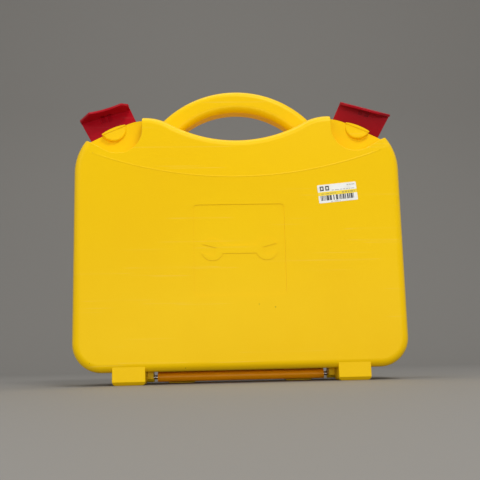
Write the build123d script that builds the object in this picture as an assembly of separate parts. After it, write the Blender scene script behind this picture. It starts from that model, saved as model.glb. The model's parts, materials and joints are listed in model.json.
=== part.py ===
"""Moulded carrying case with two corner latches, a split handle and a lift-out sorting tray.

Millimetres, +Z up, +X to the case's right, the front looks along -Y.
The origin is on the floor under the middle of the case, on the parting plane between the halves.
"""
from build123d import *
import math
import os

# Case shells
HALF_WIDTH = 165.0
HALF_DEPTH = 42.0
BASE_Z = 12.4
WALL = 2.2
SEAM = 0.2
EDGE_RADIUS = 8.0
BOTTOM_RADIUS = 29.0
SOFT_EDGE = 0.6
SHOULDER_Z = 212.0
SHOULDER_RADIUS = 56.0
CORNER_ROUND = 5.0
DIP_Z = 245.2
DIP_RADIUS = 138.0
BUMP_X = 94.0
BUMP_RADIUS = 50.0
CREASE_Z = 204.7
CREASE_RADIUS = 418.0
CREASE_SLOPE = 4.0

# Latch seats: a sloping pad on each shoulder, and a scoop in front of it
PAD_SLOPE = 26.5
LATCH_X = 127.0
SCOOP_X = 97.0
SCOOP_CENTRE = (121.5, 255.5)
SCOOP_RADIUS = 24.3
SCOOP_RISE = 29.0
SCOOP_WALL_Y = -23.6

# Latches, drawn closed about their own pin: x outward, y to the rear, z off the pad
LATCH_PIN_Y = 5.0
LATCH_PIN_HEIGHT = -3.0
LATCH_REACH = 36.2
LATCH_SKEW = 10.0
LATCH_SHEET = 2.5
LATCH_UNDERSIDE = 6.6
LATCH_HALF_WIDTH = 27.2
LATCH_BARREL_RADIUS = 3.5
LATCH_BARREL_HALF = 18.8
LATCH_BACK = 2.0
LATCH_TAIL = -4.6
LIP_END = -14.5
LIP_SAG = 3.2
LIP_INNER_X = -20.5
LIP_OUTER_X = 15.0
LIP_ROUND = 2.5
LIP_SOFT = 0.5
BEND_RADIUS = 2.0
POCKET_DEPTH = 1.7
POCKET_X = 3.6
POCKET_SIZE = (4.4, 8.4)
POCKET_REACH = 8.0
EAR_IN = 19.2
EAR_OUT = 22.4
EAR_RADIUS = 4.0
EAR_ROOT = -5.5
LATCH_PIN_RADIUS = 1.5
LATCH_BORE_PLAY = 0.06
LATCH_LEFT_OPEN = 90.0
LATCH_RIGHT_OPEN = 66.0

# Catch on the scoop wall
CATCH_HALF_WIDTH = 13.0
CATCH_TOP = 2.2
CATCH_GAP = 1.4
CATCH_DROP = 11.5
CATCH_CROWN = 1.6
CATCH_STEP = 0.6
CATCH_SOFT = 1.8

# Feet and hinge
FOOT_IN = 93.6
FOOT_OUT = 125.5
FOOT_FRONT_Y = 41.5
FOOT_BACK_Y = 14.0
FOOT_BEVEL = 3.4
FOOT_ROUND = 3.5
FOOT_SOFT = 0.8
REAR_FOOT_IN = 46.0
REAR_FOOT_OUT = 76.0
REAR_FOOT_BACK_Y = 18.0
HINGE_Z = 6.6
BARREL_RADIUS = 4.8
BARREL_HALF = 84.5
KNUCKLE_IN = 88.0
KNUCKLE_OUT = 102.0
ROD_RADIUS = 2.0
ROD_PLAY = 0.06
ROD_HALF = 99.0
LEAF_BACK_Y = 16.0
LEAF_SHEET = 2.2
LEAF_FRONT_Y = 1.0
LEAF_WEB = 3.2
HINGE_SCREWS_X = (-60.0, 0.0, 60.0)
HINGE_SCREWS_Y = 12.0

# Handle
HANDLE_RADIUS = 98.0
HANDLE_TOP_Z = 295.6
HANDLE_WIDE = 25.0
HANDLE_TALL = 22.8
HANDLE_ROUND = 7.2
HANDLE_SWEEP = 57.0
SCREW_Y = 6.4
SCREW_RADIUS = 1.75
SCREW_HEAD_RADIUS = 3.4
SCREW_HEAD = 2.0
HANDLE_SHANK = 10.0
HINGE_SHANK = 6.4
HOLE_PLAY = 0.2

# Panel and sticker on the front
PANEL_HALF = 45.5
PANEL_Z = 130.5
PANEL_SINK = 0.5
LABEL_SIZE = (39.6, 18.8)
LABEL_CENTRE = (100.1, 186.6)
LABEL_TURN = 5.4
LABEL_SHEET = 0.2

# Tray
TRAY_HALF_WIDTH = 148.0
TRAY_LOW_Z = 24.0
TRAY_HIGH_Z = 214.0
TRAY_DEPTH = 27.0
TRAY_RESTS_X = (-110.0, -40.0, 40.0, 110.0)
TRAY_PLAY = 0.3
TRAY_BACK_Y = 38.8
TRAY_SHEET = 1.8
TRAY_ROUND = 14.0
TRAY_ROWS = (87.0, 150.0)
DIVIDERS = ((-50.0, 0), (50.0, 0), (-20.0, 2), (76.0, 2))
DIVIDER_SHEET = 1.6
DIVIDER_PLAY = 0.25
GUIDE_SHEET = 1.6
GUIDE_PROUD = 2.4


def sin(angle):
    return math.sin(math.radians(angle))


def cos(angle):
    return math.cos(math.radians(angle))


def tan(angle):
    return math.tan(math.radians(angle))


def box(x, y, z):
    """A block between two limits on each axis."""
    middle = [(a + b) / 2 for a, b in (x, y, z)]
    return Pos(*middle) * Box(*[abs(b - a) for a, b in (x, y, z)])


def prism(sketch, y_front, y_back):
    """A sketch in X and Z, carried along Y between two planes."""
    return extrude(Plane.XZ.offset(-y_back) * sketch, amount=y_back - y_front)


def both(part):
    """A piece and its mirror image on the other side of the case."""
    return part + mirror(part, about=Plane.YZ)


def rod_x(radius, x_from, x_to, y=0.0, z=0.0):
    """A round bar along X."""
    return Pos((x_from + x_to) / 2, y, z) * Rot(0, 90, 0) * Cylinder(radius, abs(x_to - x_from))


def on_circle(centre, radius, angle):
    return (centre[0] + radius * cos(angle), centre[1] + radius * sin(angle))


# Centres of the outline's arcs, and the pad line that leaves the bump tangentially
DIP_CENTRE = (0.0, DIP_Z + DIP_RADIUS)
BUMP_CENTRE = (BUMP_X, DIP_CENTRE[1] - math.sqrt((DIP_RADIUS + BUMP_RADIUS) ** 2 - BUMP_X**2))
SHOULDER_CENTRE = (HALF_WIDTH - SHOULDER_RADIUS, SHOULDER_Z)
PAD_TOP = on_circle(BUMP_CENTRE, BUMP_RADIUS, 90 - PAD_SLOPE)


def pad_end():
    """Where the pad line leaves the shoulder's arc."""
    dx = PAD_TOP[0] - SHOULDER_CENTRE[0]
    dz = PAD_TOP[1] - SHOULDER_CENTRE[1]
    along = dx * cos(PAD_SLOPE) - dz * sin(PAD_SLOPE)
    run = -along + math.sqrt(along**2 - dx**2 - dz**2 + SHOULDER_RADIUS**2)
    return (PAD_TOP[0] + run * cos(PAD_SLOPE), PAD_TOP[1] - run * sin(PAD_SLOPE))


# The latch pin above the middle of its pad
PAD_END = pad_end()
PAD_Z = PAD_TOP[1] - (LATCH_X - PAD_TOP[0]) * tan(PAD_SLOPE)
PIN = (LATCH_X + LATCH_PIN_HEIGHT * sin(PAD_SLOPE), LATCH_PIN_Y,
       PAD_Z + LATCH_PIN_HEIGHT * cos(PAD_SLOPE))
PIN_FRAME = Plane(origin=PIN, x_dir=(cos(PAD_SLOPE), 0, -sin(PAD_SLOPE)),
                  z_dir=(sin(PAD_SLOPE), 0, cos(PAD_SLOPE)))


def case_outline():
    """The case seen from the front: round corners, a dip under the handle, a bump beside it
    and a sloping pad for each latch."""
    corner = (HALF_WIDTH - BOTTOM_RADIUS, BASE_Z + BOTTOM_RADIUS)
    pad_angle = math.degrees(math.atan2(PAD_END[1] - SHOULDER_Z, PAD_END[0] - SHOULDER_CENTRE[0]))
    turn = math.degrees(math.atan2(BUMP_CENTRE[1] - DIP_CENTRE[1], BUMP_X))
    a = (corner[0], BASE_Z)
    b = (HALF_WIDTH, corner[1])
    c = (HALF_WIDTH, SHOULDER_Z)
    f = on_circle(DIP_CENTRE, DIP_RADIUS, turn)
    right = [
        ThreePointArc(a, on_circle(corner, BOTTOM_RADIUS, -45), b),
        Line(b, c),
        ThreePointArc(c, on_circle(SHOULDER_CENTRE, SHOULDER_RADIUS, pad_angle / 2), PAD_END),
        Line(PAD_END, PAD_TOP),
        ThreePointArc(PAD_TOP, on_circle(BUMP_CENTRE, BUMP_RADIUS, 95), f),
    ]
    left = [mirror(edge, about=Plane.YZ) for edge in right]
    base = Line((-a[0], a[1]), a)
    dip = ThreePointArc(f, (0.0, DIP_Z), (-f[0], f[1]))
    outline = make_face(right + left + [base, dip])
    shoulders = [v for v in outline.vertices()
                 if math.hypot(abs(v.X) - PAD_END[0], v.Y - PAD_END[1]) < 0.1]
    return fillet(shoulders, CORNER_ROUND)


def scoop_outline():
    """The finger scoop: upright beside the bump, round below, then straight up to the shoulder."""
    low = -90 + SCOOP_RISE
    left = (SCOOP_X, SCOOP_CENTRE[1])
    tangent = on_circle(SCOOP_CENTRE, SCOOP_RADIUS, low)
    out = (HALF_WIDTH + 5, tangent[1] + (HALF_WIDTH + 5 - tangent[0]) * tan(SCOOP_RISE))
    top = HANDLE_TOP_Z
    radius = SCOOP_CENTRE[0] - SCOOP_X
    lowest = on_circle(SCOOP_CENTRE, radius, (180 + 360 + low) / 2)
    return make_face([
        Line((SCOOP_X, top), left),
        ThreePointArc(left, lowest, on_circle(SCOOP_CENTRE, radius, low)),
        Line(on_circle(SCOOP_CENTRE, radius, low), out),
        Line(out, (HALF_WIDTH + 5, top)),
        Line((HALF_WIDTH + 5, top), (SCOOP_X, top)),
    ])


def crease_cutter(face_y):
    """What the upper front loses: above the crease the face leans back as a shallow cone."""
    centre_z = CREASE_Z + CREASE_RADIUS
    top = CREASE_Z + 130.0
    back = face_y + (top - CREASE_Z) * tan(CREASE_SLOPE)
    spread = 30.0
    profile = make_face(Polyline(
        (0, face_y, CREASE_Z), (0, back, top), (0, face_y - 5, top), (0, face_y - 5, CREASE_Z), close=True))
    ring = revolve(profile, Axis((0, 0, centre_z), (0, 1, 0)), revolution_arc=2 * spread)
    return Pos(0, 0, centre_z) * Rot(0, -spread, 0) * Pos(0, 0, -centre_z) * ring


def half_blank(inset):
    """The front half as a closed block, its whole surface moved inwards by the inset."""
    face_y = -HALF_DEPTH + inset
    outline = offset(case_outline(), -inset) if inset else case_outline()
    block = prism(outline, face_y, 1.0 if inset else -SEAM) - crease_cutter(face_y)
    rim = [e for e in block.edges() if e.bounding_box().max.Y < face_y + 6
           and e.length < 2 * HALF_WIDTH - 30 and abs(e.center().Z - CREASE_Z) > 1.0]
    return fillet(rim, EDGE_RADIUS - inset)


def scoop_cut(grow):
    """Both scoops, grown by a wall's thickness for the inside of the shell."""
    outline = scoop_outline()
    if grow:
        outline = offset(outline, grow)
    return both(prism(outline, -HALF_DEPTH - 5, SCOOP_WALL_Y + grow))


def soft_scoops(block):
    """The block with the long edges of its scoops rounded where they meet the front face."""
    end_x = LATCH_X + 13.0
    rims = []
    for edge in block.edges():
        middle = edge.center()
        beside = abs(abs(middle.X) - SCOOP_X) < 0.2 and middle.Y < SCOOP_WALL_Y - 2 and edge.length > 5.5
        below = SCOOP_X < abs(middle.X) < end_x and middle.Y < 1 - HALF_DEPTH and edge.length > 12
        if middle.Z > SCOOP_CENTRE[1] - SCOOP_RADIUS - 6 and (beside or below):
            rims.append(edge)
    return fillet(rims, SOFT_EDGE)


def feet(foot_in, foot_out, back_y):
    """A pair of feet under the front half, bevelled at the front and round at the lower corners."""
    top = BASE_Z + 6
    side = make_face(Plane.YZ * Polyline(
        (-FOOT_FRONT_Y, top), (-FOOT_FRONT_Y, FOOT_BEVEL), (-FOOT_FRONT_Y + FOOT_BEVEL, 0),
        (-back_y, 0), (-back_y, top), close=True))
    foot = extrude(Plane.YZ.offset(foot_in) * Plane.YZ.location.inverse() * side,
                   amount=foot_out - foot_in)
    height = 2 * top
    front = Pos((foot_in + foot_out) / 2, height / 2) * Rectangle(foot_out - foot_in, height)
    front = fillet(front.vertices().sort_by(Axis.Y)[:2], FOOT_ROUND)
    foot = foot & prism(front, -HALF_DEPTH, 0)
    shown = [e for e in foot.edges()
             if e.center().Z < BASE_Z and e.center().Y < -back_y - 1 and e.length > 3]
    return both(fillet(shown, FOOT_SOFT))


def lip_front(x):
    """How far the closed lip's outer face is from the pin, at a place along the latch."""
    return LATCH_REACH + x * tan(LATCH_SKEW)


def catch():
    """The right-hand catch: a half-round boss on the scoop wall with a ledge along its top."""
    wall = SCOOP_WALL_Y - LATCH_PIN_Y + 1.0
    face = LATCH_REACH * cos(LATCH_SKEW) - LATCH_SHEET - CATCH_GAP
    top = CATCH_TOP - LATCH_PIN_HEIGHT
    side_top = top - CATCH_CROWN
    low = -LATCH_PIN_HEIGHT - 0.5
    w = CATCH_HALF_WIDTH
    upper = [
        Line((w, low), (w, side_top)),
        ThreePointArc((w, side_top), (0, top), (-w, side_top)),
        Line((-w, side_top), (-w, low)),
    ]
    round_below = ThreePointArc((-w, low), (0, low - CATCH_DROP), (w, low))
    body = Part()
    for outline, reach in ((upper + [Line((-w, low), (w, low))], face),
                           (upper + [round_below], face - CATCH_STEP)):
        keep = Rot(0, 0, -LATCH_SKEW) * box((-40, 40), (-reach, 40), (-40, 40))
        piece = prism(make_face(outline), -40, wall) & keep
        if reach < face:
            rim = [e for e in piece.edges() if e.center().Z < low - 2 and e.center().Y < wall - 3
                   and e.length > CATCH_HALF_WIDTH]
            piece = fillet(rim, CATCH_SOFT)
        body += piece
    return PIN_FRAME.location * body


def knuckles():
    """The front half's hinge knuckles and the webs that join them to the feet."""
    ring = rod_x(BARREL_RADIUS, KNUCKLE_IN, KNUCKLE_OUT, z=HINGE_Z)
    web = box((KNUCKLE_IN, KNUCKLE_OUT), (-FOOT_BACK_Y - 1, -1.5), (HINGE_Z - 1.5, BASE_Z + 1))
    bore = rod_x(ROD_RADIUS + ROD_PLAY, KNUCKLE_IN - 1, ROD_HALF + 0.3, z=HINGE_Z)
    return ring + web, bore


def screw_frames(side_y):
    """Where the handle screws pass the wall: on the slope under each foot of the handle."""
    lean = math.degrees(math.asin(BUMP_X / (DIP_RADIUS + BUMP_RADIUS)))
    x, z = on_circle(DIP_CENTRE, DIP_RADIUS, lean - 90)
    return [Plane(origin=(s * x, side_y * SCREW_Y, z), x_dir=(cos(lean), 0, s * sin(lean)),
                  z_dir=(-s * sin(lean), 0, cos(lean))) for s in (1, -1)]


def front_shell():
    ring, bore = knuckles()
    outer = soft_scoops(half_blank(0) - scoop_cut(0))
    outer += feet(FOOT_IN, FOOT_OUT, FOOT_BACK_Y)
    inner = half_blank(WALL) - scoop_cut(WALL)
    shell = outer - inner
    shell += both(ring)
    shell -= both(bore)
    shell += both(catch())
    shell -= panel_sink()
    for frame in screw_frames(-1):
        shell -= frame.location * Cylinder(SCREW_RADIUS + HOLE_PLAY, 30)
    return shell


def emblem():
    """A plain open-ended spanner, lying level."""
    length = 54.0
    bar = Rectangle(length, 8)
    for s in (1, -1):
        bar += Pos(s * length / 2, 0) * Circle(11)
        bar -= Pos(s * (length / 2 + 6), 0) * Rot(0, 0, s * 15) * Rectangle(18, 8.5)
    return bar


def panel_sink():
    """The square panel, sunk into the face around a spanner that stays at the face."""
    square = Rectangle(2 * PANEL_HALF, 2 * PANEL_HALF)
    square = fillet(square.vertices(), 4)
    field = Pos(0, PANEL_Z) * (square - emblem())
    return prism(field, -HALF_DEPTH - 1, -HALF_DEPTH + PANEL_SINK)


def notch(grow):
    """The trough under a latch barrel in the rear half's pad."""
    low = -LATCH_BARREL_RADIUS - 0.8 - grow
    part = box((-EAR_OUT - grow, EAR_OUT + grow), (-20, 10.5 + grow), (low, 30))
    return PIN_FRAME.location * part


def ears():
    """The two lugs that hold a latch pin."""
    part = Part()
    for s in (1, -1):
        lug = rod_x(EAR_RADIUS, s * EAR_IN, s * EAR_OUT)
        lug += box((s * EAR_IN, s * EAR_OUT), (-EAR_RADIUS, EAR_RADIUS), (EAR_ROOT, 0))
        part += lug
    part -= rod_x(LATCH_PIN_RADIUS, -EAR_OUT - 5, EAR_OUT + 5)
    return PIN_FRAME.location * part


def rear_shell():
    flip = Plane.XZ
    outer = mirror(half_blank(0) + feet(REAR_FOOT_IN, REAR_FOOT_OUT, REAR_FOOT_BACK_Y), about=flip)
    inner = mirror(half_blank(WALL), about=flip)
    outer -= both(notch(0))
    inner -= both(notch(WALL))
    shell = outer - inner
    shell += both(ears())
    for x in TRAY_RESTS_X:
        shell += box((x - 1.5, x + 1.5), (14, HALF_DEPTH - 6), (BASE_Z + 1, TRAY_LOW_Z - TRAY_PLAY))
    for frame in screw_frames(1):
        shell -= frame.location * Cylinder(SCREW_RADIUS + HOLE_PLAY, 30)
    for x in HINGE_SCREWS_X:
        shell -= Pos(x, HINGE_SCREWS_Y, BASE_Z) * Cylinder(SCREW_RADIUS, 20)
    return shell


def latch_plate():
    """The flat of the latch, a little wider at its lip."""
    w = LATCH_HALF_WIDTH
    tail = w - 1.0
    plan = make_face(Polyline(
        (-LATCH_BARREL_HALF, LATCH_BACK), (LATCH_BARREL_HALF, LATCH_BACK),
        (LATCH_BARREL_HALF, LATCH_TAIL), (tail, LATCH_TAIL), (w, -lip_front(w)),
        (-w, -lip_front(-w)), (-tail, LATCH_TAIL), (-LATCH_BARREL_HALF, LATCH_TAIL), close=True))
    tails = [v for v in plan.vertices() if abs(v.Y - LATCH_TAIL) < 0.1 and abs(v.X) > 20]
    plan = fillet(tails, 2.0)
    return Pos(0, 0, LATCH_UNDERSIDE) * extrude(plan, amount=LATCH_SHEET)


def latch_lip(plane):
    """The lip along the latch's free end, with a hollow edge and cut corners."""
    top = LATCH_UNDERSIDE + LATCH_SHEET
    u = LATCH_HALF_WIDTH / cos(LATCH_SKEW)
    middle = (LIP_INNER_X + LIP_OUTER_X) / 2
    edge = make_face([
        Polyline((-u, top), (-u, -6.0), (LIP_INNER_X, LIP_END)),
        ThreePointArc((LIP_INNER_X, LIP_END), (middle, LIP_END + LIP_SAG), (LIP_OUTER_X, LIP_END)),
        Polyline((LIP_OUTER_X, LIP_END), (u, 1.0), (u, top), (-u, top)),
    ])
    corners = [v for v in edge.vertices() if v.Y < top - 1]
    edge = fillet(corners, LIP_ROUND)
    return extrude(plane * edge, amount=-LATCH_SHEET)


def soft_lip(body):
    """The latch with a round bend and a soft rim round its lip."""
    top = LATCH_UNDERSIDE + LATCH_SHEET
    bend = [e for e in body.edges() if abs(e.center().Z - top) < 0.05 and e.center().Y < -25
            and e.length > LATCH_HALF_WIDTH]
    body = fillet(bend, BEND_RADIUS)
    rim = [e for e in body.edges() if e.center().Z < top - 3 and e.center().Y < -20]
    return fillet(rim, LIP_SOFT)


def latch():
    """The right-hand latch, closed, about its pin."""
    half = LATCH_BARREL_HALF
    rise = LATCH_UNDERSIDE + LATCH_SHEET / 2
    lip_plane = Plane(origin=(0, -LATCH_REACH, 0), x_dir=(cos(LATCH_SKEW), -sin(LATCH_SKEW), 0),
                      z_dir=(-sin(LATCH_SKEW), -cos(LATCH_SKEW), 0))
    body = latch_plate() + latch_lip(lip_plane)
    body = soft_lip(body)
    body += rod_x(LATCH_BARREL_RADIUS, -half, half)
    body += box((-half, half), (-LATCH_BARREL_RADIUS, LATCH_BACK), (0, rise))
    for s in (-1, 1):
        width, height = POCKET_SIZE
        top = LATCH_UNDERSIDE + POCKET_DEPTH
        pocket = Pos(s * POCKET_X, top - height / 2) * Rectangle(width, height)
        body -= extrude(lip_plane.offset(-LATCH_SHEET + POCKET_DEPTH) * pocket, amount=-POCKET_REACH)
    body -= rod_x(LATCH_PIN_RADIUS + LATCH_BORE_PLAY, -2 * half, 2 * half)
    return body


def placed_latch(opened):
    """The latch on the right of the case, raised from closed by an angle."""
    return PIN_FRAME.location * Rot(-opened, 0, 0) * latch()


def latch_pin():
    return PIN_FRAME.location * rod_x(LATCH_PIN_RADIUS, -EAR_OUT, EAR_OUT)


def handle_half(side):
    """Half of the handle: side -1 goes with the front half of the case, 1 with the rear."""
    centre_z = HANDLE_TOP_Z - HANDLE_RADIUS
    section = Plane.YZ * (Pos(0, HANDLE_TOP_Z) * Rectangle(HANDLE_WIDE, HANDLE_TALL))
    section = fillet(section.vertices(), HANDLE_ROUND)
    hoop = revolve(section, Axis((0, 0, centre_z), (0, 1, 0)), revolution_arc=2 * HANDLE_SWEEP)
    hoop = Pos(0, 0, centre_z) * Rot(0, -HANDLE_SWEEP, 0) * Pos(0, 0, -centre_z) * hoop
    hoop &= box((-200, 200), (side * SEAM, side * HANDLE_WIDE), (200, 400))
    hoop -= prism(case_outline(), -HANDLE_WIDE, HANDLE_WIDE)
    for frame in screw_frames(side):
        hoop -= frame.location * Pos(0, 0, 3) * Cylinder(SCREW_RADIUS, 14)
    return hoop


def handle_screws(side):
    """The pair of screws that hold a handle half, heads inside the case."""
    screws = Part()
    for frame in screw_frames(side):
        under = -WALL - 0.6
        shank = Pos(0, 0, (under + HANDLE_SHANK) / 2) * Cylinder(SCREW_RADIUS, HANDLE_SHANK - under)
        head = Pos(0, 0, under - SCREW_HEAD / 2) * Cylinder(SCREW_HEAD_RADIUS, SCREW_HEAD)
        screws += frame.location * (shank + head)
    return screws


def hinge_barrel():
    """The long middle of the hinge, with a leaf that lies under the rear half."""
    bar = rod_x(BARREL_RADIUS, -BARREL_HALF, BARREL_HALF, z=HINGE_Z)
    along = (-BARREL_HALF, BARREL_HALF)
    bar += box(along, (LEAF_FRONT_Y, LEAF_BACK_Y), (BASE_Z - LEAF_SHEET, BASE_Z))
    bar += box(along, (LEAF_FRONT_Y, LEAF_FRONT_Y + LEAF_WEB), (HINGE_Z, BASE_Z))
    bar -= rod_x(ROD_RADIUS, -BARREL_HALF - 1, BARREL_HALF + 1, z=HINGE_Z)
    for x in HINGE_SCREWS_X:
        bar -= Pos(x, HINGE_SCREWS_Y, BASE_Z) * Cylinder(SCREW_RADIUS, 20)
    return bar


def hinge_screws():
    """Three screws up through the leaf into the rear shell."""
    screws = Part()
    base = BASE_Z - LEAF_SHEET
    for x in HINGE_SCREWS_X:
        screws += Pos(x, HINGE_SCREWS_Y, base + HINGE_SHANK / 2) * Cylinder(SCREW_RADIUS, HINGE_SHANK)
        head = Cylinder(SCREW_HEAD_RADIUS, SCREW_HEAD)
        screws += Pos(x, HINGE_SCREWS_Y, base - SCREW_HEAD / 2) * head
    return screws


def price_label():
    """A small sticker, slightly turned, on the front face."""
    flat = Pos(*LABEL_CENTRE) * Rot(0, 0, LABEL_TURN) * Rectangle(*LABEL_SIZE)
    return prism(flat, -HALF_DEPTH - LABEL_SHEET, -HALF_DEPTH)


def tray_block(inset, front_y, back_y):
    wide = 2 * (TRAY_HALF_WIDTH - inset)
    tall = TRAY_HIGH_Z - TRAY_LOW_Z - 2 * inset
    sheet = Rectangle(wide, tall)
    sheet = fillet(sheet.vertices(), TRAY_ROUND - inset)
    return prism(Pos(0, (TRAY_LOW_Z + TRAY_HIGH_Z) / 2) * sheet, front_y, back_y)


def tray_row(row):
    """The lower and upper limits of a row of the tray, inside its walls."""
    rungs = (TRAY_LOW_Z + TRAY_SHEET / 2,) + TRAY_ROWS + (TRAY_HIGH_Z - TRAY_SHEET / 2,)
    return rungs[row] + TRAY_SHEET / 2, rungs[row + 1] - TRAY_SHEET / 2


def sorting_tray():
    """An open tray in three rows, with guide ribs for its loose dividers."""
    front_y = TRAY_BACK_Y - TRAY_DEPTH
    tray = tray_block(0, front_y, TRAY_BACK_Y)
    tray -= tray_block(TRAY_SHEET, front_y - 1, TRAY_BACK_Y - TRAY_SHEET)
    x_limits = (-TRAY_HALF_WIDTH + 1, TRAY_HALF_WIDTH - 1)
    for z in TRAY_ROWS:
        tray += box(x_limits, (front_y, TRAY_BACK_Y - 1), (z - TRAY_SHEET / 2, z + TRAY_SHEET / 2))
    half_gap = DIVIDER_SHEET / 2 + DIVIDER_PLAY
    for x, row in DIVIDERS:
        low, high = tray_row(row)
        for s in (1, -1):
            ribs = (x + s * half_gap, x + s * (half_gap + GUIDE_SHEET))
            for z_from, z_to in ((low - 0.5, low + GUIDE_PROUD), (high - GUIDE_PROUD, high + 0.5)):
                tray += box(ribs, (front_y + 3, TRAY_BACK_Y - 1), (z_from, z_to))
    for s in (1, -1):
        finger = Pos(s * TRAY_HALF_WIDTH, front_y, (TRAY_LOW_Z + TRAY_HIGH_Z) / 2)
        tray -= finger * Rot(0, 90, 0) * Cylinder(11, 12)
    return tray


def tray_divider(x, row):
    """A loose wall across one row, resting on the tray's floor."""
    low, high = tray_row(row)
    front_y = TRAY_BACK_Y - TRAY_DEPTH + 1.5
    sheet = box((x - DIVIDER_SHEET / 2, x + DIVIDER_SHEET / 2),
                (front_y, TRAY_BACK_Y - TRAY_SHEET), (low + DIVIDER_PLAY, high - DIVIDER_PLAY))
    grip = Pos(x, front_y, (low + high) / 2) * Rot(0, 90, 0) * Cylinder(8, 2 * DIVIDER_SHEET)
    return sheet - grip


def pieces():
    yield "front_shell", front_shell()
    yield "rear_shell", rear_shell()
    yield "front_handle_half", handle_half(-1)
    yield "rear_handle_half", handle_half(1)
    yield "front_handle_screws", handle_screws(-1)
    yield "rear_handle_screws", handle_screws(1)
    yield "hinge_barrel", hinge_barrel()
    yield "hinge_rod", rod_x(ROD_RADIUS, -ROD_HALF, ROD_HALF, z=HINGE_Z)
    yield "hinge_screws", hinge_screws()
    yield "right_latch", placed_latch(LATCH_RIGHT_OPEN)
    yield "left_latch", mirror(placed_latch(LATCH_LEFT_OPEN), about=Plane.YZ)
    yield "right_latch_pin", latch_pin()
    yield "left_latch_pin", mirror(latch_pin(), about=Plane.YZ)
    yield "price_label", price_label()
    yield "sorting_tray", sorting_tray()
    for number, (x, row) in enumerate(DIVIDERS, 1):
        yield f"tray_divider_{number}", tray_divider(x, row)


os.makedirs("parts", exist_ok=True)
for name, shape in pieces():
    export_step(shape, f"parts/{name}.step")
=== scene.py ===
"""Looks of a hard carrying case: moulded yellow shells, red corner latches and a sorting tray."""
import json
import math

import bmesh
import bpy
import numpy as np
from mathutils import Matrix, Vector


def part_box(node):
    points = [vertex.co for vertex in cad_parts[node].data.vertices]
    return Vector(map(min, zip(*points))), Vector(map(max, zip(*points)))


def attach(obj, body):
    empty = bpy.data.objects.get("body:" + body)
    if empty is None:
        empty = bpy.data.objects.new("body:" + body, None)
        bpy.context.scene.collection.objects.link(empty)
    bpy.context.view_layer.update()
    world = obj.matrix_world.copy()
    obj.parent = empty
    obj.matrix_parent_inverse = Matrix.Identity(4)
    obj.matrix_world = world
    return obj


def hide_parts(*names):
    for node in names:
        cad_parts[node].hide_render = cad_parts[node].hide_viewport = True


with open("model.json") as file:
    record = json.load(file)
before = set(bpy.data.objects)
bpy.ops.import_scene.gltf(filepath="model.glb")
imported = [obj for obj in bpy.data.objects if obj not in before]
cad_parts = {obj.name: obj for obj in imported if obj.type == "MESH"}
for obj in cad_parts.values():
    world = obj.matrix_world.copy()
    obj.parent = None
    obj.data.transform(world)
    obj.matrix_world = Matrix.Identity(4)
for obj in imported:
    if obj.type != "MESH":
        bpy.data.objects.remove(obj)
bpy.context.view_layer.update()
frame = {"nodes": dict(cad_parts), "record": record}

MM = 0.001


# ---------------------------------------------------------------- node helpers

def wire(tree, node, inputs):
    """Links the sockets given to a node's inputs, and sets the plain values given."""
    for key, value in inputs.items():
        if isinstance(value, bpy.types.NodeSocket):
            tree.links.new(value, node.inputs[key])
        else:
            node.inputs[key].default_value = value


def add(tree, kind, inputs=None, **settings):
    """One node, with its settings and the values or links of its inputs."""
    node = tree.nodes.new(kind)
    for name, value in settings.items():
        setattr(node, name, value)
    wire(tree, node, inputs or {})
    return node


def noise(tree, place, scale, detail, roughness=0.5):
    """The grey value of a soft noise with about `scale` lumps to the metre."""
    node = add(tree, "ShaderNodeTexNoise", {
        "Vector": place, "Scale": scale, "Detail": detail, "Roughness": roughness})
    return node.outputs["Fac"]


def ramp(tree, factor, stops):
    """A ramp through (place, grey) stops."""
    node = add(tree, "ShaderNodeValToRGB", {"Fac": factor})
    elements = node.color_ramp.elements
    while len(elements) < len(stops):
        elements.new(0.5)
    for element, (place, grey) in zip(elements, stops):
        element.position = place
        element.color = (grey, grey, grey, 1)
    return node.outputs["Color"]


def maths(tree, operation, first, second=0.0, third=0.0, clamp=False):
    """The result of one Math node on up to three sockets or numbers."""
    node = add(tree, "ShaderNodeMath", {0: first, 1: second, 2: third},
               operation=operation, use_clamp=clamp)
    return node.outputs[0]


def highest(tree, masks):
    """The greatest of several masks at each point."""
    result, *others = masks
    for mask in others:
        result = maths(tree, "MAXIMUM", result, mask)
    return result


def mix_colour(tree, factor, first, second):
    """The first colour where the factor is 0 and the second where it is 1."""
    node = add(tree, "ShaderNodeMix", data_type="RGBA")
    for key, value in (("Factor", factor), ("A", first), ("B", second)):
        socket = [s for s in node.inputs if s.name == key and s.enabled][0]
        if isinstance(value, bpy.types.NodeSocket):
            tree.links.new(value, socket)
        elif key == "Factor":
            socket.default_value = value
        else:
            socket.default_value = (*value, 1)
    return [s for s in node.outputs if s.enabled][0]


def relief(tree, height, strength, distance):
    """The normal of a surface raised by a height of 0 to 1 over a distance in metres."""
    node = add(tree, "ShaderNodeBump", {
        "Strength": strength, "Distance": distance, "Height": height})
    return node.outputs["Normal"]


def new_group(name, inputs, outputs):
    """An empty shader group with float or vector inputs and float outputs, and its end nodes."""
    group = bpy.data.node_groups.new(name, "ShaderNodeTree")
    kinds = {"float": "NodeSocketFloat", "vector": "NodeSocketVector"}
    for label, kind, value in inputs:
        socket = group.interface.new_socket(label, in_out="INPUT", socket_type=kinds[kind])
        if value is not None:
            socket.default_value = value
    for label in outputs:
        group.interface.new_socket(label, in_out="OUTPUT", socket_type=kinds["float"])
    return group, group.nodes.new("NodeGroupInput"), group.nodes.new("NodeGroupOutput")


def use_group(tree, group, inputs):
    """One use of a shader group, with its own values."""
    return add(tree, "ShaderNodeGroup", inputs, node_tree=group)


def new_material(name):
    """An empty node material, its tree and its shader."""
    material = bpy.data.materials.new(name)
    material.use_nodes = True
    return material, material.node_tree, material.node_tree.nodes["Principled BSDF"]


# ---------------------------------------------------------------- shared effects

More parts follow.
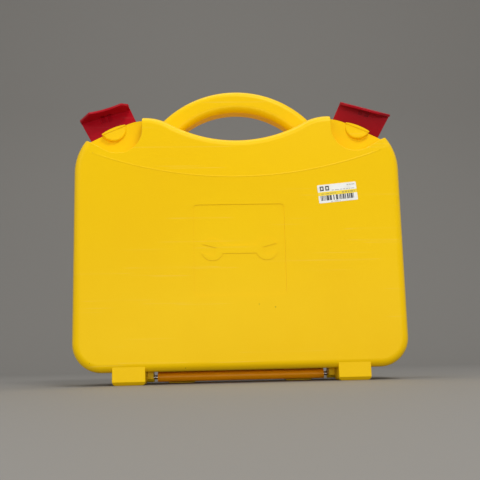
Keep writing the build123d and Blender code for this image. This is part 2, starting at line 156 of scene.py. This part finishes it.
# shares of pebble and peel in the skin's height, and of pebble and cloud in its gloss
HEIGHT_PEBBLE, HEIGHT_PEEL = 0.35, 0.65
GLOSS_PEBBLE, GLOSS_CLOUD = 0.4, 0.6
# noises: lumps to the metre (for a streak, of the stretched metre), detail and roughness
CLOUD = (9.0, 4.0, 0.55)
STREAK = (1.4, 1.0, 0.4)
RUBBED = (14.0, 5.0, 0.6)
# turn about Y in radians, and shift, of the two directions that scratches run in
SCRATCH_RUNS = ((0.5, 3.0), (-0.9, 11.0))
SCRATCH_STRETCH = (4.0, 30.0, 260.0)
RARE_CELL = 0.82            # a cell has a speck where its random red is above this


def moulding_group():
    """Injection-moulded skin: fine pebble, slow orange peel, cloudy tone."""
    group, given, result = new_group(
        "moulded skin",
        [("Place", "vector", None), ("Pebble", "float", 1500.0), ("Peel", "float", 90.0)],
        ["Height", "Cloud", "Gloss"])
    place = given.outputs["Place"]
    pebble = noise(group, place, given.outputs["Pebble"], 2.0, 0.55)
    peel = noise(group, place, given.outputs["Peel"], 2.0)
    cloud = noise(group, place, *CLOUD)
    wire(group, result, {
        "Height": maths(group, "ADD", maths(group, "MULTIPLY", pebble, HEIGHT_PEBBLE),
                        maths(group, "MULTIPLY", peel, HEIGHT_PEEL)),
        "Cloud": cloud,
        "Gloss": maths(group, "ADD", maths(group, "MULTIPLY", pebble, GLOSS_PEBBLE),
                       maths(group, "MULTIPLY", cloud, GLOSS_CLOUD))})
    return group


def scuff_group():
    """Handling marks: long thin scratches in two directions, and a few rubbed patches. A scratch
    is the narrow band where a noise stretched along its run crosses one level."""
    group, given, result = new_group(
        "scuffs",
        [("Place", "vector", None), ("Amount", "float", 0.5)],
        ["Scratch", "Rub"])
    place, amount = given.outputs["Place"], given.outputs["Amount"]
    lines = []
    for turn, shift in SCRATCH_RUNS:
        turned = add(group, "ShaderNodeMapping", {
            "Vector": place, "Location": (shift, shift * 0.7, 0),
            "Rotation": (0, turn, 0), "Scale": SCRATCH_STRETCH})
        streak = noise(group, turned.outputs["Vector"], *STREAK)
        lines.append(ramp(group, streak, [(0.71, 0.0), (0.735, 1.0), (0.76, 0.0)]))
    rub = ramp(group, noise(group, place, *RUBBED), [(0.56, 0.0), (0.72, 1.0)])
    wire(group, result, {
        "Scratch": maths(group, "MULTIPLY", highest(group, lines), amount),
        "Rub": maths(group, "MULTIPLY", rub, amount)})
    return group


def speck_group():
    """Sparse dark specks of dirt: round spots in the few cells whose random red is high."""
    group, given, result = new_group(
        "specks",
        [("Place", "vector", None), ("Scale", "float", 60.0), ("Size", "float", 0.05)],
        ["Speck"])
    cell = add(group, "ShaderNodeTexVoronoi", {
        "Vector": given.outputs["Place"], "Scale": given.outputs["Scale"]})
    near = maths(group, "LESS_THAN", cell.outputs["Distance"], given.outputs["Size"])
    chosen = add(group, "ShaderNodeSeparateColor", {"Color": cell.outputs["Color"]})
    rare = maths(group, "GREATER_THAN", chosen.outputs["Red"], RARE_CELL)
    wire(group, result, {"Speck": maths(group, "MULTIPLY", near, rare)})
    return group


SKIN = moulding_group()
SCUFFS = scuff_group()
SPECKS = speck_group()


# ---------------------------------------------------------------- materials

GLOSS_SPREAD = 0.16         # how far the skin's tone moves the roughness
RUB_ROUGHNESS = 0.12
SCRATCH_ROUGHNESS = 0.15
SCRATCH_TINT = 0.22
SCRATCH_DEPTH = 0.5         # as a share of the skin's height
SKIN_DEPTH = 0.5 * MM
SPECK_SCALE = 55.0
SPECK_TINT = 0.7
DIRT = (0.05, 0.035, 0.01)
PLASTIC_IOR = 1.49

TURNED_RINGS = (900.0, 60.0, 60.0)      # rings to the metre along X, and lumps across
BRIGHT_ZINC = (0.60, 0.61, 0.62)
DULL_ZINC = (0.42, 0.42, 0.40)


def moulded(name, colour, shade, roughness, pebble=1500.0, bump=0.12, wear=0.5, specks=0.0,
            scratch=(1.0, 0.9, 0.5), specular=0.5, sheen=(1.0, 1.0, 1.0)):
    """Moulded plastic: two close tones, pebble and peel as bump, scuffs that lift the roughness."""
    material, tree, shader = new_material(name)
    place = add(tree, "ShaderNodeTexCoord").outputs["Object"]
    skin = use_group(tree, SKIN, {"Place": place, "Pebble": pebble}).outputs
    scuffs = use_group(tree, SCUFFS, {"Place": place, "Amount": wear}).outputs
    cloud = ramp(tree, skin["Cloud"], [(0.3, 0.0), (0.7, 1.0)])
    tone = mix_colour(tree, cloud, colour, shade)
    marked = maths(tree, "MULTIPLY", scuffs["Scratch"], SCRATCH_TINT)
    tone = mix_colour(tree, marked, tone, scratch)
    if specks:
        dirt = use_group(tree, SPECKS, {"Place": place, "Scale": SPECK_SCALE, "Size": specks})
        dirty = maths(tree, "MULTIPLY", dirt.outputs["Speck"], SPECK_TINT)
        tone = mix_colour(tree, dirty, tone, DIRT)
    rough = maths(tree, "MULTIPLY_ADD", skin["Gloss"], GLOSS_SPREAD, roughness - GLOSS_SPREAD / 2)
    rubbed = maths(tree, "MULTIPLY", scuffs["Rub"], RUB_ROUGHNESS)
    rough = maths(tree, "ADD", rough, rubbed)
    torn = maths(tree, "MULTIPLY", scuffs["Scratch"], SCRATCH_ROUGHNESS)
    rough = maths(tree, "ADD", rough, torn, clamp=True)
    height = maths(tree, "SUBTRACT", skin["Height"],
                   maths(tree, "MULTIPLY", scuffs["Scratch"], SCRATCH_DEPTH))
    wire(tree, shader, {
        "Base Color": tone, "Roughness": rough,
        "Normal": relief(tree, height, bump, SKIN_DEPTH),
        "IOR": PLASTIC_IOR, "Specular IOR Level": specular, "Specular Tint": (*sheen, 1)})
    return material


def steel():
    """Zinc-plated steel with turned rings and faint tarnish."""
    material, tree, shader = new_material("zinc plated steel")
    place = add(tree, "ShaderNodeTexCoord").outputs["Object"]
    turned = add(tree, "ShaderNodeMapping", {"Vector": place, "Scale": TURNED_RINGS})
    rings = noise(tree, turned.outputs["Vector"], 1.0, 2.0)
    skin = use_group(tree, SKIN, {"Place": place, "Pebble": 700.0})
    tarnish = ramp(tree, skin.outputs["Cloud"], [(0.35, 0.0), (0.7, 1.0)])
    wire(tree, shader, {
        "Base Color": mix_colour(tree, tarnish, BRIGHT_ZINC, DULL_ZINC),
        "Roughness": maths(tree, "MULTIPLY_ADD", rings, 0.25, 0.2),
        "Normal": relief(tree, rings, 0.2, 0.2 * MM),
        "Metallic": 1.0})
    return material


CASE = moulded("yellow polypropylene", (0.89, 0.56, 0.001), (0.87, 0.53, 0.001), 0.36,
               specks=0.03, wear=0.3, specular=0.3, sheen=(1.0, 0.85, 0.3))
# the hinge barrel is the case's yellow plastic; its orange, brighter base colour is painted warm
# bounce light that lifts it out of the shade under the case
PAINTED_BOUNCE_BARREL = moulded("yellow plastic painted with bounce light", (0.98, 0.37, 0.002), (0.93, 0.32, 0.002), 0.34,
                 wear=0.5, specular=0.4, sheen=(1.0, 0.8, 0.3))
LATCH = moulded("red plastic", (0.42, 0.001, 0.010), (0.36, 0.001, 0.009), 0.30,
                bump=0.08, wear=0.35, scratch=(0.75, 0.2, 0.2), specular=0.35,
                sheen=(1.0, 0.45, 0.5))
TRAY = moulded("charcoal plastic", (0.035, 0.037, 0.040), (0.028, 0.029, 0.031), 0.5,
               pebble=900.0, bump=0.25, wear=0.6, scratch=(0.16, 0.16, 0.16))
STEEL = steel()
PAPER = moulded("coated paper", (0.82, 0.80, 0.72), (0.78, 0.76, 0.68), 0.35,
                bump=0.03, wear=0.1)

BY_SLOT = {"case_plastic": CASE, "hinge_plastic": PAINTED_BOUNCE_BARREL, "latch_plastic": LATCH,
           "tray_plastic": TRAY, "steel": STEEL, "label_paper": PAPER}


def dress_nodes():
    """Every node of the frame gets the finish of its material slot."""
    slots = {part["node"]: part["material_slot"] for part in frame["record"]["subparts"]}
    for name, node in frame["nodes"].items():
        node.data.materials.clear()
        node.data.materials.append(BY_SLOT[slots[name]])


# ---------------------------------------------------------------- thin closed pieces

def slab(name, face, back, material):
    """A closed thin piece between two grids of points with the same rows and columns: a quad for
    every cell of the face, the same quads turned over on the back, and a wall round the rim.
    Rows run up and columns run to the right, seen from outside."""
    rows, columns = face.shape[:2]
    count = rows * columns
    index = np.arange(count).reshape(rows, columns)
    quads = np.stack((index[:-1, :-1], index[:-1, 1:], index[1:, 1:], index[1:, :-1]), -1)
    quads = quads.reshape(-1, 4)
    rim = np.concatenate((index[0, :], index[1:, -1], index[-1, -2::-1], index[-2:0:-1, 0]))
    after = np.roll(rim, -1)
    wall = np.stack((rim, rim + count, after + count, after), -1)
    faces = np.concatenate((quads, quads[:, ::-1] + count, wall))
    points = np.concatenate((face.reshape(-1, 3), back.reshape(-1, 3)))
    mesh = bpy.data.meshes.new(name)
    mesh.from_pydata(points.tolist(), [], faces.tolist())
    mesh.materials.append(material)
    piece = bpy.data.objects.new(name, mesh)
    bpy.context.scene.collection.objects.link(piece)
    return piece


def outward(piece):
    """Turns a closed piece's faces to point outwards."""
    work = bmesh.new()
    work.from_mesh(piece.data)
    bmesh.ops.recalc_face_normals(work, faces=work.faces)
    work.to_mesh(piece.data)
    work.free()


# ---------------------------------------------------------------- printed sticker

STICKER_WIDE = 39.6 * MM
STICKER_TALL = 18.8 * MM
STICKER_TURN = math.radians(5.4)
STICKER_CORNER = 0.8 * MM
STICKER_CELLS = (48, 24)
PAPER_WAVE = 0.02 * MM
PAPER_SINK = 0.05 * MM      # how far the lowest wave lies under the CAD sticker's face

# areas of the print: left, right, low and high, as shares of the sticker's width and height
BAND = (-0.1, 1.1, 0.40, 0.60)
BARS = (0.05, 0.95, 0.12, 0.40)
BLOCKS = ((0.06, 0.16, 0.66, 0.92), (0.20, 0.30, 0.66, 0.92))
HOLLOWS = ((0.09, 0.13, 0.73, 0.85), (0.23, 0.27, 0.73, 0.85))
DASHES = ((0.76, 0.96, 0.85, 0.90), (0.36, 0.96, 0.64, 0.68), (0.08, 0.46, 0.47, 0.52),
          (0.60, 0.95, 0.46, 0.54), (0.30, 0.55, 0.03, 0.07))
# columns across the sticker, the share of them that is inked, and the seed
BAR_PATTERN = (74.0, 0.52, 5.0)
DASH_COLUMNS, DASH_SHARE, DASH_SEED = 52.0, 0.62, 20.0

CLEAN_PAPER = (0.86, 0.86, 0.82)
GRIMY_PAPER = (0.72, 0.70, 0.60)
BAND_YELLOW = (0.90, 0.66, 0.02)
DASH_GREY = (0.12, 0.11, 0.09)
INK = (0.02, 0.02, 0.022)
DASH_TINT = 0.55
# lumps to the metre, and detail
FIBRE = (900.0, 3.0)
GRIME = (70.0, 4.0)


def span(tree, value, low, high):
    """1 where a value is between two limits."""
    above = maths(tree, "GREATER_THAN", value, low)
    return maths(tree, "MULTIPLY", above, maths(tree, "LESS_THAN", value, high))


def patch(tree, u, v, area):
    """1 inside one area of the print."""
    left, right, low, high = area
    return maths(tree, "MULTIPLY", span(tree, u, left, right), span(tree, v, low, high))


def stripes(tree, u, count, share, seed):
    """Upright bars of uneven width: a random choice for each of many narrow columns."""
    column = maths(tree, "FLOOR", maths(tree, "MULTIPLY_ADD", u, count, seed))
    chance = add(tree, "ShaderNodeTexWhiteNoise", {"W": column}, noise_dimensions="1D")
    return maths(tree, "LESS_THAN", chance.outputs["Value"], share)


def printed_paper():
    """White coated paper: a yellow band, a dark block mark, small dashes and a bar pattern."""
    material, tree, shader = new_material("printed sticker")
    sheet = add(tree, "ShaderNodeTexCoord").outputs
    uv = add(tree, "ShaderNodeSeparateXYZ", {"Vector": sheet["UV"]})
    u, v = uv.outputs["X"], uv.outputs["Y"]
    bars = maths(tree, "MULTIPLY", stripes(tree, u, *BAR_PATTERN), patch(tree, u, v, BARS))
    blocks = highest(tree, [patch(tree, u, v, area) for area in BLOCKS])
    hollows = highest(tree, [patch(tree, u, v, area) for area in HOLLOWS])
    mark = maths(tree, "SUBTRACT", blocks, hollows)
    dashes = []
    for line, area in enumerate(DASHES):
        pattern = stripes(tree, u, DASH_COLUMNS, DASH_SHARE, DASH_SEED + line)
        dashes.append(maths(tree, "MULTIPLY", pattern, patch(tree, u, v, area)))
    fibre = noise(tree, sheet["Object"], *FIBRE)
    grime = noise(tree, sheet["Object"], *GRIME)
    tone = mix_colour(tree, ramp(tree, grime, [(0.45, 0.0), (0.75, 1.0)]),
                      CLEAN_PAPER, GRIMY_PAPER)
    tone = mix_colour(tree, patch(tree, u, v, BAND), tone, BAND_YELLOW)
    faint = maths(tree, "MULTIPLY", highest(tree, dashes), DASH_TINT)
    tone = mix_colour(tree, faint, tone, DASH_GREY)
    worn = ramp(tree, fibre, [(0.3, 0.80), (0.5, 0.96)])
    inked = maths(tree, "MULTIPLY", highest(tree, [bars, mark]), worn)
    tone = mix_colour(tree, inked, tone, INK)
    wire(tree, shader, {
        "Base Color": tone,
        "Roughness": maths(tree, "MULTIPLY_ADD", fibre, 0.25, 0.28),
        "Normal": relief(tree, fibre, 0.08, 0.1 * MM)})
    return material


def sticker():
    """A thin sheet on the front: a rectangle turned in its plane, with round corners, whose
    outer face swells by a few hundredths of a millimetre in slow waves, as paper does."""
    low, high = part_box("price_label")
    middle = (Vector(low) + Vector(high)) / 2
    columns, rows = STICKER_CELLS
    u, v = np.meshgrid(np.linspace(0, 1, columns + 1), np.linspace(0, 1, rows + 1))
    flat = [(u - 0.5) * STICKER_WIDE, (v - 0.5) * STICKER_TALL]
    # beyond the corner's centre a point is drawn in to the corner's radius
    over = [np.maximum(np.abs(way) - (size / 2 - STICKER_CORNER), 0) / STICKER_CORNER
            for way, size in zip(flat, (STICKER_WIDE, STICKER_TALL))]
    drawn_in = STICKER_CORNER * (1 - 1 / np.maximum(np.hypot(*over), 1.0))
    x, z = (np.sign(way) * (np.abs(way) - beyond * drawn_in) for way, beyond in zip(flat, over))
    wave = PAPER_WAVE * (1 + np.sin(9 * u + 2) * np.sin(5 * v + 1))
    across = middle.x + x * math.cos(STICKER_TURN) - z * math.sin(STICKER_TURN)
    up = middle.z + x * math.sin(STICKER_TURN) + z * math.cos(STICKER_TURN)
    face = np.stack((across, low[1] + PAPER_SINK - wave, up), -1)
    back = np.stack((across, np.full_like(u, high[1]), up), -1)
    piece = slab("printed_sticker", face, back, printed_paper())
    mesh = piece.data
    corners = np.zeros(len(mesh.loops), dtype=int)
    mesh.loops.foreach_get("vertex_index", corners)
    print_place = np.stack((u.ravel(), v.ravel()), -1)
    layer = mesh.uv_layers.new(name="print")
    layer.uv.foreach_set("vector", print_place[corners % u.size].ravel())
    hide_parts("price_label")
    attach(piece, "front_half")
    return piece


# ---------------------------------------------------------------- bead along the crease

CREASE_Z = 204.7 * MM       # lowest point of the crease
CREASE_RADIUS = 418.0 * MM
CREASE_SPREAD = math.radians(20.5)
BEAD_HALF = 0.75 * MM
BEAD_HIGH = 0.17 * MM
BEAD_ROOT = 0.6 * MM        # how far the bead's back lies inside the wall
BEAD_CELLS = (160, 12)
BEAD_FADE = 12              # the ends fade over a twelfth of the half length


def crease_bead():
    """A fine raised bead on the front face: a raised-cosine profile carried along a shallow arc
    about a centre high above the case, fading to nothing at both ends."""
    along, across = BEAD_CELLS
    turn, side = np.meshgrid(np.linspace(-CREASE_SPREAD, CREASE_SPREAD, along + 1),
                             np.linspace(-1, 1, across + 1))
    fade = np.clip((1 - np.abs(turn) / CREASE_SPREAD) * BEAD_FADE, 0, 1)
    lift = BEAD_HIGH * fade * (0.5 + 0.5 * np.cos(math.pi * side))
    radius = CREASE_RADIUS - side * BEAD_HALF
    x = radius * np.sin(turn)
    z = CREASE_Z + CREASE_RADIUS - radius * np.cos(turn)
    # the front wall is as far before the parting plane as the rear wall is behind it
    front = -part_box("rear_shell")[1][1]
    face = np.stack((x, front - lift, z), -1)
    back = np.stack((x, np.full_like(x, front + BEAD_ROOT), z), -1)
    piece = slab("crease_bead", face, back, CASE)
    smooth = np.arange(len(piece.data.polygons)) < along * across
    piece.data.polygons.foreach_set("use_smooth", smooth)
    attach(piece, "front_half")
    return piece


# ---------------------------------------------------------------- room, light, camera

FLOOR_COLOUR = (0.25, 0.24, 0.225)
FLOOR_ROUGHNESS = 0.8
FLOOR_HALF = 3.0            # half the width of floor and backdrop
FLOOR_NEAR = -2.5
CURVE_START = 0.75
CURVE_RADIUS = 0.9
CURVE_STEPS = 24
FLAT_BEFORE_CURVE = 0.4
BACKDROP_TOP = 3.0

ROOM_COLOUR = (1.0, 0.99, 0.97)
ROOM_STRENGTH = 0.5
MIDDLE = (0, 0, 0.15)
HINGE = (0, 0, 0.03)
# name, place, point it faces, width and height, watts
SOFTBOXES = (("key", (0.45, -1.15, 1.55), MIDDLE, (0.6, 0.4), 13),
             ("fill", (-1.3, -1.2, 0.9), MIDDLE, (0.9, 0.9), 5),
             ("top", (0.0, 0.1, 1.9), MIDDLE, (1.2, 0.8), 7),
             ("low", (0.1, -1.3, 0.10), HINGE, (1.4, 0.14), 5.0))

EYE = (-0.0278, -0.7475, 0.0226)
YAW = math.radians(2.294)
PITCH = math.radians(9.409)
ROLL = math.radians(-1.337)
LENS = 54.0
SENSOR = 36.0
NEAREST = 0.01


def sweep():
    """A pale floor that curves up into a backdrop: flat, a quarter turn, then upright."""
    angles = np.linspace(0, math.pi / 2, CURVE_STEPS)
    y = np.concatenate(([FLOOR_NEAR, CURVE_START - FLAT_BEFORE_CURVE],
                        CURVE_START + CURVE_RADIUS * np.sin(angles),
                        [CURVE_START + CURVE_RADIUS]))
    z = np.concatenate(([0, 0], CURVE_RADIUS * (1 - np.cos(angles)), [BACKDROP_TOP]))
    count = len(y)
    sides = [np.column_stack((np.full(count, x), y, z)) for x in (-FLOOR_HALF, FLOOR_HALF)]
    faces = [(i, i + count, i + count + 1, i + 1) for i in range(count - 1)]
    mesh = bpy.data.meshes.new("studio floor")
    mesh.from_pydata(np.concatenate(sides).tolist(), [], faces)
    mesh.polygons.foreach_set("use_smooth", [True] * len(faces))
    material, tree, shader = new_material("pale paper")
    wire(tree, shader, {"Base Color": (*FLOOR_COLOUR, 1), "Roughness": FLOOR_ROUGHNESS})
    mesh.materials.append(material)
    floor = bpy.data.objects.new("studio_floor", mesh)
    bpy.context.scene.collection.objects.link(floor)


def softbox(name, place, target, size, power):
    """A rectangular lamp at one point that faces another."""
    data = bpy.data.lights.new(name, "AREA")
    data.shape = "RECTANGLE"
    data.size, data.size_y = size
    data.energy = power
    lamp = bpy.data.objects.new(name, data)
    aim = (Vector(target) - Vector(place)).to_track_quat("-Z", "Y")
    lamp.matrix_world = Matrix.Translation(place) @ aim.to_matrix().to_4x4()
    bpy.context.scene.collection.objects.link(lamp)


def lights():
    """A soft room, a large key from the upper right, a low front fill and a top light."""
    scene = bpy.context.scene
    world = bpy.data.worlds.new("soft room")
    world.use_nodes = True
    tree = world.node_tree
    wire(tree, tree.nodes["Background"], {"Color": (*ROOM_COLOUR, 1), "Strength": ROOM_STRENGTH})
    scene.world = world
    scene.view_settings.view_transform = "Standard"
    for lamp in SOFTBOXES:
        softbox(*lamp)


def camera():
    """A low camera close to the floor, looking slightly up."""
    ahead = Vector((math.sin(YAW) * math.cos(PITCH), math.cos(YAW) * math.cos(PITCH),
                    math.sin(PITCH)))
    level = Vector((math.cos(YAW), -math.sin(YAW), 0))
    above = level.cross(ahead)
    across = math.cos(ROLL) * level + math.sin(ROLL) * above
    upward = -math.sin(ROLL) * level + math.cos(ROLL) * above
    data = bpy.data.cameras.new("camera")
    data.lens = LENS
    data.sensor_width = SENSOR
    data.clip_start = NEAREST
    eye = bpy.data.objects.new("camera", data)
    turn = Matrix((across, upward, -ahead)).transposed().to_4x4()
    eye.matrix_world = Matrix.Translation(EYE) @ turn
    bpy.context.scene.collection.objects.link(eye)
    bpy.context.scene.camera = eye


camera()
lights()
sweep()
dress_nodes()
outward(sticker())
outward(crease_bead())

bpy.context.view_layer.update()
